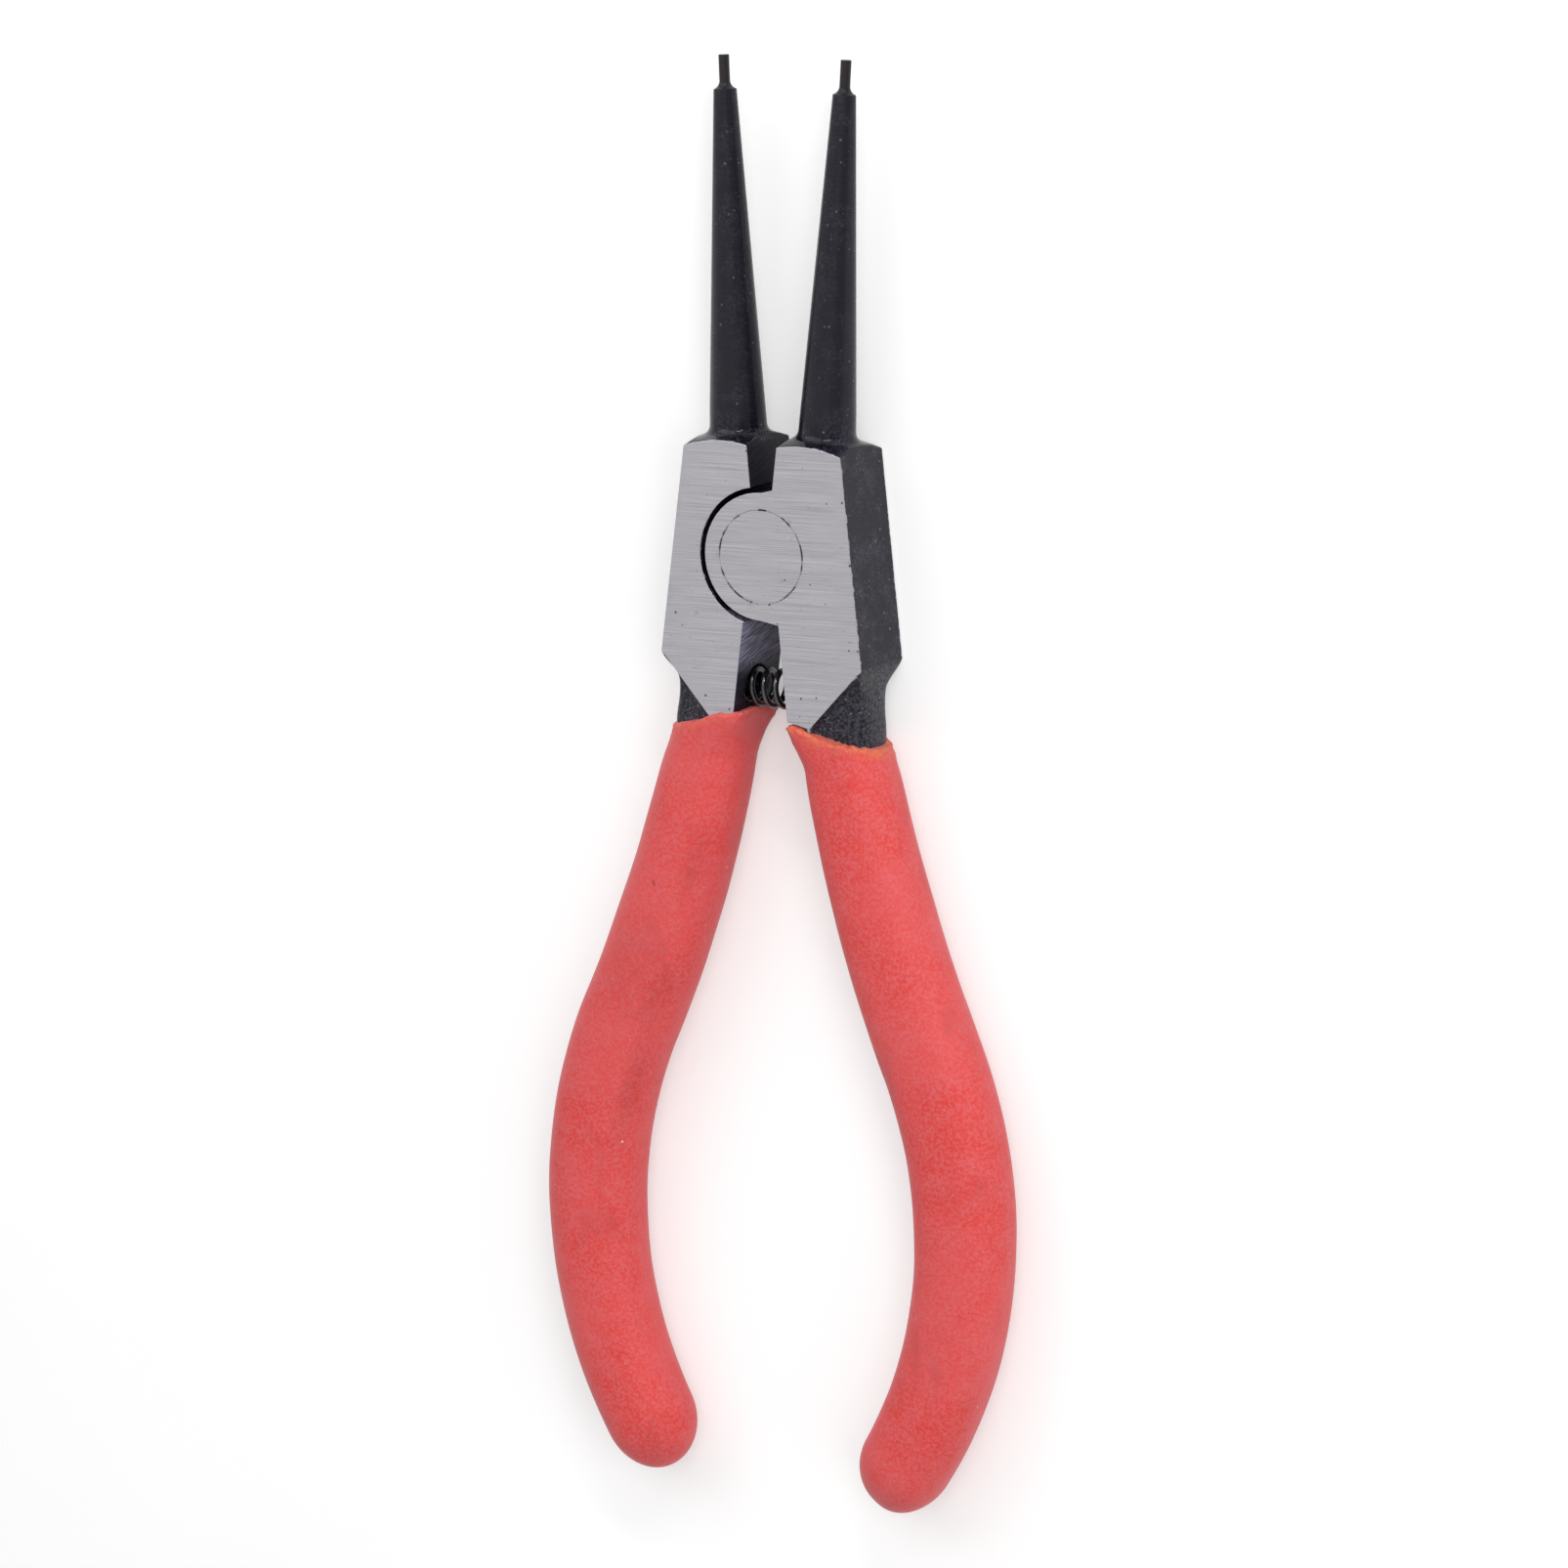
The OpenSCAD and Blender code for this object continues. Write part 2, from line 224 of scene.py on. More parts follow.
class SteelSettings(bpy.types.PropertyGroup):
    """Finish of the levers, the rivet and the spring."""

    edge_break: length("Edge break", "Rounding of the ground faces' edges and of the pins", 0.07 * MM)
    forging_round: length("Forging round", "Rounding of the black forging's edges", 0.22 * MM)
    seam_r: length("Seam radius", "Edges within this radius are the rivet's seam and stay sharp", 6.2 * MM)
    lap_r: length("Lap radius", "Edges within this radius are the lapped joint and stay crisp", 9.3 * MM)
    pin_y: length("Pin height", "Edges above this height belong to the pins and stay crisp", 50 * MM)
    sharp_angle: degrees("Sharp angle", "Edges that turn by more than this are rounded", 28)
    ground_light: colour("Ground, light", "Bare ground steel on the crests", (0.494, 0.474, 0.512))
    ground_dark: colour("Ground, dark", "Bare ground steel in the grinding lines", (0.302, 0.291, 0.315))
    oxide: colour("Oxide", "Black oxide finish", (0.003, 0.0027, 0.008))
    nose: colour("Nose", "Black oxide on the turned noses", (0.0125, 0.0115, 0.0165))
    oxide_lift: colour("Oxide, worn", "Black oxide where it is rubbed", (0.050, 0.048, 0.073))
    milled: colour("Milled", "Milled inner walls", (0.38, 0.36, 0.50))
    tip_brown: colour("Tip", "Tempered brown of the pins", (0.032, 0.022, 0.017))
    dust: colour("Dust", "Light specks on the dark steel", (0.25, 0.25, 0.27))
    wire: colour("Wire", "Oiled spring wire", (0.005, 0.0045, 0.005))


class NeckSettings(bpy.types.PropertyGroup):
    """Shape of the forged necks between the head and the grips."""

    corner_x: length("Corner offset", "Head's widest corner, from the middle", 13.9 * MM)
    corner_y: length("Corner height", "Height of the head's widest corner", -12.6 * MM)
    cut_angle: degrees("Cut angle", "Angle of the ground faces' lower edges from straight across", 48)
    side_x: length("Right side", "Right neck's outer side at its narrowest, from the middle", 13.1 * MM)
    left_side_x: length("Left side", "Left neck's outer side at its narrowest, from the middle", 12.8 * MM)
    side_y: length("Narrowest height", "Height of the narrowest place", -16.4 * MM)
    foot_x: length("Foot offset", "Outer side inside the grip, from the middle", 13.55 * MM)
    foot_y: length("Foot height", "Height where the outer side is wide again, at the grip", -21.6 * MM)
    tip_y: length("Tip height", "Height of the ground faces' lower tips", -20.46 * MM)
    tang_y: length("Tang height", "Height of the plain tang's upper end, inside the grip", -24.0 * MM)
    end_y: length("Neck end", "Height of the neck's end, inside the grip", -25.0 * MM)
    tuck: length("Tuck", "How far the neck reaches into the head", 0.6 * MM)
    tuck_depth: length("Tuck depth", "Depth of that reach under the ground faces", 0.1 * MM)
    half_t: length("Half thickness", "Half thickness of the neck", 3.55 * MM)
    thin_run: length("Thinning", "Length over which the neck thins from the head's thickness", 3.4 * MM)
    hollow: length("Hollow", "Width of the hollow beside the ground face", 3.4 * MM)
    curve: length("Curve", "Width of the rounded outer side", 2.2 * MM)
    rings: count("Rings", "Rings of points along the neck", 46, 12)
    steps: count("Steps", "Points across the hollow and across the curve", 10, 4)


class SpringSettings(bpy.types.PropertyGroup):
    """Shape of the return spring."""

    wire_d: length("Wire", "Diameter of the wire", 0.8 * MM)
    turns: count("Turns", "Turns with one closed at each end", 8, 3)
    steps: count("Steps", "Rings of points in one turn", 40, 12)
    wire_sides: count("Wire sides", "Points round the wire", 14, 8)
    wall_x: length("Wall", "Distance of the levers' inner walls from the middle", 3.44 * MM)


class GripSettings(bpy.types.PropertyGroup):
    """Shape and colours of the dipped grips."""

    handle_x: length("Handle offset", "Handle line's distance from the middle at the lip", 8.8 * MM)
    lip_y: length("Lip height", "Height of the lip on the handle line", -20.9 * MM)
    heading: degrees("Heading", "Outward heading of the handle at the lip", 11.3)
    lead_r: length("Sweep radius", "Radius of the outward sweep", 194 * MM)
    lead_turn: degrees("Sweep turn", "Turn of the outward sweep", 12.4)
    bow_r: length("Bow radius", "Radius of the inward bow", 56.5 * MM)
    bow_turn: degrees("Bow turn", "Turn of the inward bow", 53.8)
    lip_w: length("Lip width", "Width at the lip", 10.9 * MM)
    belly_w: length("Belly width", "Width at the widest place", 12.8 * MM)
    belly_s: length("Belly place", "Distance of the widest place from the lip", 45 * MM)
    end_w: length("End width", "Width where the round end starts", 11.4 * MM)
    thickness: length("Thickness", "Thickness of the grip", 10 * MM)
    lip_coat: length("Lip coat", "Coat over the ground face at the lip", 0.85 * MM)
    lip_blend: length("Lip blend", "Length over which the square lip turns oval", 5.5 * MM)
    lip_bead: length("Lip bead", "Rounding of the lip's edge", 0.5 * MM)
    lip_tilt: degrees("Lip tilt", "Fall of the lip towards the outside", 11)
    lip_rise: length("Lip rise", "Rise of the left lip's inner part", 0.6 * MM)
    lip_sag: length("Lip sag", "Sag of the right lip's outer part", 0.8 * MM)
    lip_wave: length("Lip wave", "Height of the waves along the lip", 0.2 * MM)
    lip_tooth: length("Lip teeth", "Height of the small teeth along the lip", 0.22 * MM)
    lip_flare: length("Outer flare", "Outward flare of the right lip's outer part", 0.55 * MM)
    left_flare: length("Left inner flare", "Inward flare of the left lip's inner part", 1.1 * MM)
    right_flare: length("Right inner flare", "Inward flare of the right lip's inner part", 0.36 * MM)
    flare_run: length("Flare run", "Length over which the inner flares die away", 3.4 * MM)
    lip_droop: length("Inner droop", "Droop of the right lip's inner corner", 0.62 * MM)
    rim_run: length("Rim run", "Length of the thin bright coat along the lip", 2.0 * MM)
    rim_lump: length("Rim lumps", "Roughness of the coat along the lip", 0.20 * MM)
    dome: length("Round end", "Length of the round end", 7 * MM)
    lump: length("Lumps", "Unevenness of the dipped coat", 0.07 * MM)
    rings: count("Rings", "Rings of points along the grip", 170, 40)
    around: count("Around", "Points round the grip", 128, 24)
    red: colour("Red", "Coat in the light", (0.74, 0.074, 0.068))
    deep_red: colour("Deep red", "Coat where the pigment is dense", (0.70, 0.046, 0.036))
    pale_red: colour("Pale red", "Bloom on the coat", (0.73, 0.125, 0.135))
    rim_orange: colour("Rim", "Thin coat along the lip", (0.74, 0.175, 0.075))
    stain: colour("Stain", "Dark rub marks", (0.30, 0.040, 0.038))
    speck: colour("Speck", "Pale dust specks", (0.85, 0.62, 0.60))


class StageSettings(bpy.types.PropertyGroup):
    """Camera, floor and light."""

    yaw: degrees("Yaw", "Turn of the view towards the right lever", 29.54)
    pitch: degrees("Pitch", "Tilt of the view towards the tips", 11.43)
    roll: degrees("Roll", "Roll of the picture", -0.30)
    distance: length("Distance", "Camera's distance from the pivot", 693.1 * MM)
    shift_x: length("Offset across", "Pivot's place across the picture", -0.24 * MM)
    shift_y: length("Offset up", "Pivot's place up the picture", 28.18 * MM)
    focal_px: number("Focal length", "Focal length in pixels of the picture", 5857.6)
    frame_px: number("Frame", "Side of the square picture in pixels", 1605)
    sensor: number("Sensor", "Camera's sensor width in millimetres", 36)
    floor: colour("Floor", "Plain pale floor", (0.75, 0.75, 0.75))
    floor_glow: number("Floor glow", "Share of the floor's white that the light doesn't give", 0.375)
    far_glow: number("Far glow", "The same share far from the lamps", 0.74)
    ambient: number("Ambient", "Light from all round on matt surfaces", 0.30)
    flag: number("Flag", "How much the dark flag on the right dims reflections", 0.55)


# Shape helpers


def ease(t):
    """Smooth step from 0 to 1."""
    t = min(max(t, 0), 1)
    return t * t * (3 - 2 * t)


def mix(a, b, t):
    """Number between a and b."""
    return a + (b - a) * t


def ease_over(span, value):
    """Smooth step over a span with a start and a length."""
    start, run = span
    return ease((value - start) / run)


def power_of(value, power):
    """Signed power that squares off a circle's sine or cosine."""
    return math.copysign(abs(value) ** (2 / power), value)


# Shader helpers


def feed(tree, socket, value):
    """Gives a socket a link or a plain value."""
    if isinstance(value, bpy.types.NodeSocket):
        tree.links.new(value, socket)
    elif hasattr(value, "__len__") and len(value) == 3 and socket.type == "RGBA":
        socket.default_value = (*value, 1)
    else:
        socket.default_value = value


def calc(tree, operation, *values):
    """A Math node's output."""
    made = tree.nodes.new("ShaderNodeMath")
    made.operation = operation
    for socket, value in zip(made.inputs, values):
        feed(tree, socket, value)
    return made.outputs[0]


def times(tree, product, *factors):
    """The product of several values."""
    for factor in factors:
        product = calc(tree, "MULTIPLY", product, factor)
    return product


def most(tree, largest, *others):
    """The largest of several values."""
    for other in others:
        largest = calc(tree, "MAXIMUM", largest, other)
    return largest


def ramp(tree, value, gain, start):
    """A value times a gain, added to a start."""
    return calc(tree, "MULTIPLY_ADD", value, gain, start)


def vector_calc(tree, operation, first, second):
    """A Vector Math node's vector output."""
    made = tree.nodes.new("ShaderNodeVectorMath")
    made.operation = operation
    feed(tree, made.inputs[0], first)
    feed(tree, made.inputs[1], second)
    return made.outputs["Value" if operation == "DISTANCE" else "Vector"]


def remap(tree, value, low, high, to_low=0.0, to_high=1.0):
    """A value that rises smoothly from to_low at low to to_high at high."""
    made = tree.nodes.new("ShaderNodeMapRange")
    made.interpolation_type = "SMOOTHSTEP"
    for name, number_in in (
        ("Value", value), ("From Min", low), ("From Max", high), ("To Min", to_low), ("To Max", to_high)
    ):
        feed(tree, made.inputs[name], number_in)
    return made.outputs["Result"]


def mix_colour(tree, factor, first, second):
    """A colour between two others."""
    made = tree.nodes.new("ShaderNodeMix")
    made.data_type = "RGBA"
    feed(tree, made.inputs["Factor"], factor)
    feed(tree, made.inputs[6], first)
    feed(tree, made.inputs[7], second)
    return made.outputs[2]


def mix_value(tree, factor, first, second):
    """A number between two others."""
    made = tree.nodes.new("ShaderNodeMix")
    made.data_type = "FLOAT"
    feed(tree, made.inputs["Factor"], factor)
    feed(tree, made.inputs[2], first)
    feed(tree, made.inputs[3], second)
    return made.outputs[0]


def grain(tree, vector, detail, roughness):
    """Noise with one cell to each unit of the vector."""
    made = tree.nodes.new("ShaderNodeTexNoise")
    made.inputs["Scale"].default_value = 1
    made.inputs["Detail"].default_value = detail
    made.inputs["Roughness"].default_value = roughness
    feed(tree, made.inputs["Vector"], vector)
    return made.outputs["Fac"]


def in_cells(tree, vector, *sizes):
    """A vector counted in cells of a size along each axis."""
    cell = tree.nodes.new("ShaderNodeCombineXYZ")
    for socket, size in zip(cell.inputs, sizes):
        feed(tree, socket, size)
    return vector_calc(tree, "DIVIDE", vector, cell.outputs[0])


def new_group(name, output, **defaults):
    """An empty effect group: a vector and named values go in, one value comes out."""
    tree = bpy.data.node_groups.new(name, "ShaderNodeTree")
    tree.interface.new_socket("Vector", in_out="INPUT", socket_type="NodeSocketVector")
    for label, default in defaults.items():
        socket = tree.interface.new_socket(
            label.capitalize(), in_out="INPUT", socket_type="NodeSocketFloat"
        )
        socket.default_value = default
    tree.interface.new_socket(output, in_out="OUTPUT", socket_type="NodeSocketFloat")
    return tree, tree.nodes.new("NodeGroupInput").outputs, tree.nodes.new("NodeGroupOutput").inputs[0]


def streak_group():
    """Fine parallel lines along X, as a grinding wheel leaves them."""
    tree, given, result = new_group("Streaks", "Tone", width=0.1 * MM, run=4 * MM)
    cells = in_cells(tree, given["Vector"], given["Run"], given["Width"], given["Run"])
    lines = grain(tree, cells, 3, 0.62)
    feed(tree, result, remap(tree, lines, 0.32, 0.68))
    return tree


def mottle_group():
    """Soft uneven patches."""
    tree, given, result = new_group("Mottle", "Patches", size=5 * MM, low=0.35, high=0.65)
    cells = in_cells(tree, given["Vector"], given["Size"], given["Size"], given["Size"])
    patches = grain(tree, cells, 4, 0.55)
    feed(tree, result, remap(tree, patches, given["Low"], given["High"]))
    return tree


def speck_group():
    """Small scattered dots, in the share of cells that is asked for."""
    tree, given, result = new_group("Specks", "Mask", size=1 * MM, share=0.05, dot=0.18)
    cells = tree.nodes.new("ShaderNodeTexVoronoi")
    cells.inputs["Scale"].default_value = 1
    place_in = in_cells(tree, given["Vector"], given["Size"], given["Size"], given["Size"])
    feed(tree, cells.inputs["Vector"], place_in)
    pick = tree.nodes.new("ShaderNodeSeparateColor")
    feed(tree, pick.inputs[0], cells.outputs["Color"])
    chosen = calc(tree, "LESS_THAN", pick.outputs[0], given["Share"])
    reach = times(tree, given["Dot"], calc(tree, "ADD", pick.outputs[1], 0.35))
    dot = remap(tree, cells.outputs["Distance"], times(tree, reach, 0.7), reach, 1, 0)
    feed(tree, result, times(tree, chosen, dot))
    return tree


EFFECTS = {"Streaks": streak_group, "Mottle": mottle_group, "Specks": speck_group}


def place(tree, name, vector, **values):
    """A shared effect in a material with its own values; its group is built at first use."""
    made = tree.nodes.new("ShaderNodeGroup")
    made.node_tree = bpy.data.node_groups.get(name) or EFFECTS[name]()
    feed(tree, made.inputs["Vector"], vector)
    for label, value in values.items():
        feed(tree, made.inputs[label.capitalize()], value)
    return made.outputs[0]


def new_material(name):
    """A node material with its tree, shader and object coordinates."""
    made = bpy.data.materials.new(name)
    made.use_nodes = True
    tree = made.node_tree
    shader = tree.nodes["Principled BSDF"]
    coords = tree.nodes.new("ShaderNodeTexCoord")
    return made, tree, shader, coords.outputs["Object"]


def split(tree, vector):
    """The three outputs of a Separate XYZ node."""
    made = tree.nodes.new("ShaderNodeSeparateXYZ")
    feed(tree, made.inputs[0], vector)
    return made.outputs


def turned(tree, vector, angles):
    """A vector turned about the origin."""
    made = tree.nodes.new("ShaderNodeMapping")
    made.inputs["Rotation"].default_value = angles
    feed(tree, made.inputs["Vector"], vector)
    return made.outputs[0]


def bump(tree, shader, height, distance, strength):
    """Feeds a height into the shader's normal."""
    made = tree.nodes.new("ShaderNodeBump")
    made.inputs["Distance"].default_value = distance
    made.inputs["Strength"].default_value = strength
    feed(tree, made.inputs["Height"], height)
    feed(tree, shader.inputs["Normal"], made.outputs[0])


# Steel


def ground_tone(tree, coords):
    """Tone of the ground faces: fine grinding lines over broader ones, from 0 to 1."""
    tilted = turned(tree, coords, GRIND_TURN)
    fine = place(tree, "Streaks", tilted, width=0.060 * MM, run=11 * MM)
    broad = place(tree, "Streaks", tilted, width=0.24 * MM, run=36 * MM)
    return mix_value(tree, BROAD_SHARE, fine, broad)


def ring_line(tree, coords, radius, half_w):
    """A thin circle about the rivet's axis, from 0 to 1."""
    flat = vector_calc(tree, "MULTIPLY", coords, (1, 1, 0))
    away = vector_calc(tree, "DISTANCE", flat, (0, 0, 0))
    off = calc(tree, "ABSOLUTE", calc(tree, "SUBTRACT", away, radius))
    core = 0.4 * half_w
    return remap(tree, off, core, half_w, 1, 0)


def ground_colour(tree, coords, steel, tone):
    """Colour of bare ground steel with pits, short scratches and a dark line round the rivet."""
    base = mix_colour(tree, tone, steel.ground_dark, steel.ground_light)
    pits = place(tree, "Specks", coords, size=1.1 * MM, share=0.22, dot=0.14)
    grit = place(tree, "Specks", coords, size=0.5 * MM, share=0.12, dot=0.16)
    lines = place(tree, "Streaks", coords, width=0.09 * MM, run=1.1 * MM)
    some = place(tree, "Mottle", coords, size=1.7 * MM, low=0.58, high=0.66)
    scratch = times(tree, remap(tree, lines, 0.02, 0.14, 0.5, 0), some)
    patches = place(tree, "Mottle", coords, size=2.0 * MM, low=0.42, high=0.56)
    seam = times(tree, ring_line(tree, coords, *SEAM_LINE), patches)
    faint = times(tree, ring_line(tree, coords, *FAINT_LINE), some, 0.3)
    dark = most(tree, times(tree, pits, 0.85), times(tree, grit, 0.45), scratch, seam, faint)
    return mix_colour(tree, dark, base, steel.oxide_lift)


def oxide_colour(tree, coords, steel, depth, y, neck):
    """Colour of the black finish: bluish patches, grain, worn edges, dust and browned pins."""
    patches = place(tree, "Mottle", coords, size=2.6 * MM, low=0.40, high=0.70)
    fine = place(tree, "Mottle", coords, size=0.34 * MM, low=0.36, high=0.70)
    lift = times(tree, fine, ramp(tree, patches, 0.85, 0.10))
    base = mix_colour(tree, lift, steel.oxide, steel.oxide_lift)
    rubbed = place(tree, "Mottle", coords, size=0.9 * MM, low=0.53, high=0.60)
    worn = times(tree, remap(tree, depth, *WORN_EDGE), rubbed, 0.90)
    base = mix_colour(tree, worn, base, steel.ground_light)
    dust = place(tree, "Specks", coords, size=1.2 * MM, share=0.30, dot=0.13)
    flecks = place(tree, "Specks", coords, size=0.55 * MM, share=0.26, dot=0.26)
    some = place(tree, "Mottle", coords, size=1.9 * MM, low=0.45, high=0.65)
    flecks = times(tree, flecks, ramp(tree, neck, 0.5, ramp(tree, some, 0.45, 0.12)))
    light = most(tree, times(tree, dust, 0.7), flecks, times(tree, neck, fine, 0.42))
    base = mix_colour(tree, light, base, steel.dust)
    return mix_colour(tree, remap(tree, y, *BROWNED, 0, 0.8), base, steel.tip_brown)


def ground_mask(tree, coords, depth):
    """1 on the ground faces and 0 on the black, with a ragged edge between."""
    burr = place(tree, "Mottle", coords, size=0.45 * MM, low=0.3, high=0.7)
    limit = ramp(tree, burr, GROUND_BURR, HALF_T - GROUND_DEPTH)
    return remap(tree, depth, limit, calc(tree, "ADD", limit, GROUND_BLEND))


def milled_mask(tree, coords, y, wall, marks):
    """How bare the milled walls are: tool marks and pits, with painted shade darkening both ends."""
    pits = place(tree, "Specks", coords, size=0.8 * MM, share=0.25, dot=0.22)
    # Painted shade: both ends of the milled walls fade towards black
    shade = times(tree, remap(tree, y, *WALL_SHADE, 1, 0.04), remap(tree, y, *WALL_FOOT_SHADE, 0.05, 1))
    return times(tree, wall, ramp(tree, marks, 0.75, 0.12), shade, calc(tree, "SUBTRACT", 1, pits))


def lever_material(steel):
    """Black forging with ground faces, turned noses and milled inner walls."""
    made, tree, shader, coords = new_material("forged_lever")
    x, y, z = split(tree, coords)
    depth = calc(tree, "ABSOLUTE", calc(tree, "SUBTRACT", z, MID_Z))
    ground = ground_mask(tree, coords, depth)
    tone = ground_tone(tree, coords)
    marks = place(tree, "Streaks", turned(tree, coords, MILL_TURN), width=0.26 * MM, run=3 * MM)
    rings = place(tree, "Streaks", coords, width=0.14 * MM, run=9 * MM)
    scale = place(tree, "Mottle", coords, size=0.28 * MM, low=0.3, high=0.7)
    inside = remap(tree, calc(tree, "ABSOLUTE", x), *WALL_SIDE, 1, 0)
    wall = times(tree, inside, remap(tree, y, *WALL_TOP, 1, 0))
    neck = times(tree, remap(tree, y, *NECK_DUST, 0.45, 0), calc(tree, "SUBTRACT", 1, inside))
    nose = remap(tree, y, *NOSE_RINGS)
    foot = times(tree, remap(tree, y, *NOSE_FOOT), remap(tree, y, *NOSE_FOOT_END, 1, 0))

    black = oxide_colour(tree, coords, steel, depth, y, neck)
    black = mix_colour(tree, times(tree, wall, 0.9), black, steel.oxide)
    black = mix_colour(tree, milled_mask(tree, coords, y, wall, marks), black, steel.milled)
    black = mix_colour(tree, times(tree, nose, ramp(tree, rings, 0.22, 0.50)), black, steel.nose)
    bare = ground_colour(tree, coords, steel, tone)
    feed(tree, shader.inputs["Base Color"], mix_colour(tree, ground, black, bare))
    feed(tree, shader.inputs["Metallic"], ground)

    forged_rough = mix_value(tree, scale, *ROUGH["forging"])
    black_rough = mix_value(tree, nose, forged_rough, mix_value(tree, rings, *ROUGH["nose"]))
    black_rough = mix_value(tree, foot, black_rough, NOSE_FOOT_ROUGH)
    bare_rough = mix_value(tree, tone, *ROUGH["ground"])
    feed(tree, shader.inputs["Roughness"], mix_value(tree, ground, black_rough, bare_rough))
    shader.inputs["Specular IOR Level"].default_value = 0.215

    relief = mix_value(tree, nose, calc(tree, "ADD", scale, times(tree, wall, marks)), rings)
    relief = times(tree, relief, ramp(tree, foot, -0.8, 1))
    bump(tree, shader, mix_value(tree, ground, relief, tone), *RELIEF["steel"])
    return made


def rivet_material(steel):
    """Ground steel whose lines run on from the levers' faces."""
    made, tree, shader, coords = new_material("ground_rivet")
    tone = ground_tone(tree, coords)
    feed(tree, shader.inputs["Base Color"], ground_colour(tree, coords, steel, tone))
    shader.inputs["Metallic"].default_value = 1
    feed(tree, shader.inputs["Roughness"], mix_value(tree, tone, *ROUGH["rivet"]))
    bump(tree, shader, tone, *RELIEF["steel"])
    return made


def wire_material(steel):
    """Oiled black spring wire with rubbed patches."""
    made, tree, shader, coords = new_material("spring_wire")
    patches = place(tree, "Mottle", coords, size=0.9 * MM, low=0.45, high=0.75)
    base = mix_colour(tree, times(tree, patches, 0.5), steel.wire, steel.oxide_lift)
    feed(tree, shader.inputs["Base Color"], base)
    feed(tree, shader.inputs["Roughness"], mix_value(tree, patches, *ROUGH["wire"]))
    shader.inputs["Specular IOR Level"].default_value = 0.9
    fine = place(tree, "Mottle", coords, size=0.15 * MM)
    bump(tree, shader, fine, *RELIEF["wire"])
    return made


def link_mesh(name, mesh, material):
    """A new object in the scene with one material."""
    made = bpy.data.objects.new(name, mesh)
    bpy.context.scene.collection.objects.link(made)
    mesh.materials.clear()
    mesh.materials.append(material)
    return made


def on_ground(face):
    """True for a face that lies in one of the two ground planes."""
    depth = abs(face.verts[0].co.z - MID_Z)
    return abs(face.normal.z) > FLAT_NORMAL and abs(depth - HALF_T) < FLAT_REACH


def rounding(edge, steel):
    """How much an edge is rounded: not at rivet and neck, well on the forging, just broken elsewhere."""
    ends = [vert.co for vert in edge.verts]
    at_seam = all(end.xy.length < steel.seam_r for end in ends)
    if at_seam or any(face.tag for face in edge.link_faces):
        return 0
    crisp = any(end.xy.length < steel.lap_r or end.y > steel.pin_y for end in ends)
    if crisp or any(on_ground(face) for face in edge.link_faces):
        return steel.edge_break
    return steel.forging_round


def neck_side(neck, side, y):
    """Outer side of a neck at half its thickness, away from the middle."""
    waist = neck.side_x if side > 0 else neck.left_side_x
    if y > neck.side_y:
        return mix(waist, neck.corner_x, ease((y - neck.side_y) / (neck.corner_y - neck.side_y)))
    return mix(waist, neck.foot_x, ease((neck.side_y - y) / (neck.side_y - neck.foot_y)))


def neck_ring(neck, side, y):
    """Closed section of the neck at one height: hollow beside the ground face, round on its outer side."""
    inner = neck.corner_x - (neck.corner_y - max(y, neck.tip_y)) / math.tan(neck.cut_angle)
    outer = neck_side(neck, side, y)
    half_t = mix(HALF_T, neck.half_t, ease((neck.corner_y - y) / neck.thin_run))
    top = mix(HALF_T, half_t, ease((neck.tip_y - y) / neck.thin_run))
    shrink = min(1, (outer - inner) / (neck.hollow + neck.curve))
    quarter = [math.pi / 2 * i / neck.steps for i in range(neck.steps + 1)]
    half = [(inner - neck.tuck, top - neck.tuck_depth)]
    for angle in quarter:
        x = inner + neck.hollow * shrink * (1 - math.cos(angle))
        half.append((x, mix(top, half_t, math.sin(angle))))
    for angle in quarter:
        x = outer - neck.curve * shrink * (1 - power_of(math.sin(angle), NECK_POWER))
        half.append((x, half_t * power_of(math.cos(angle), NECK_POWER)))
    whole = half + [(x, -z) for x, z in reversed(half[:-1])]
    return [Vector((side * x, y, MID_Z + z)) for x, z in whole]


def cut_out_neck(bm, neck, side):
    """Takes the plain neck out of a lever, closes both cuts and returns the closing faces."""
    corner = Vector((side * neck.corner_x, neck.corner_y, 0))
    slope = Vector((side * math.sin(neck.cut_angle), -math.cos(neck.cut_angle), 0))
    tang = Vector((0, neck.tang_y, 0))
    for point, normal in ((corner, slope), (tang, Vector((0, 1, 0)))):
        geom = [*bm.verts, *bm.edges, *bm.faces]
        bmesh.ops.bisect_plane(bm, geom=geom, dist=WELD, plane_co=point, plane_no=normal)
    plain = []
    for face in bm.faces:
        middle = face.calc_center_median()
        if (middle - corner).dot(slope) > WELD and middle.y > neck.tang_y:
            plain.append(face)
    bmesh.ops.delete(bm, geom=plain, context="FACES")
    rims = [edge for edge in bm.edges if edge.is_boundary]
    return bmesh.ops.holes_fill(bm, edges=rims, sides=0)["faces"]


def add_loft(bm, rings):
    """Adds a closed skin through rings with the same number of points, and returns its faces."""
    loops = [[bm.verts.new(point) for point in ring] for ring in rings]
    around = len(loops[0])
    made = [bm.faces.new(reversed(loops[0])), bm.faces.new(loops[-1])]
    for first, second in zip(loops, loops[1:]):
        for i in range(around):
            k = (i + 1) % around
            made.append(bm.faces.new((first[i], first[k], second[k], second[i])))
    return made


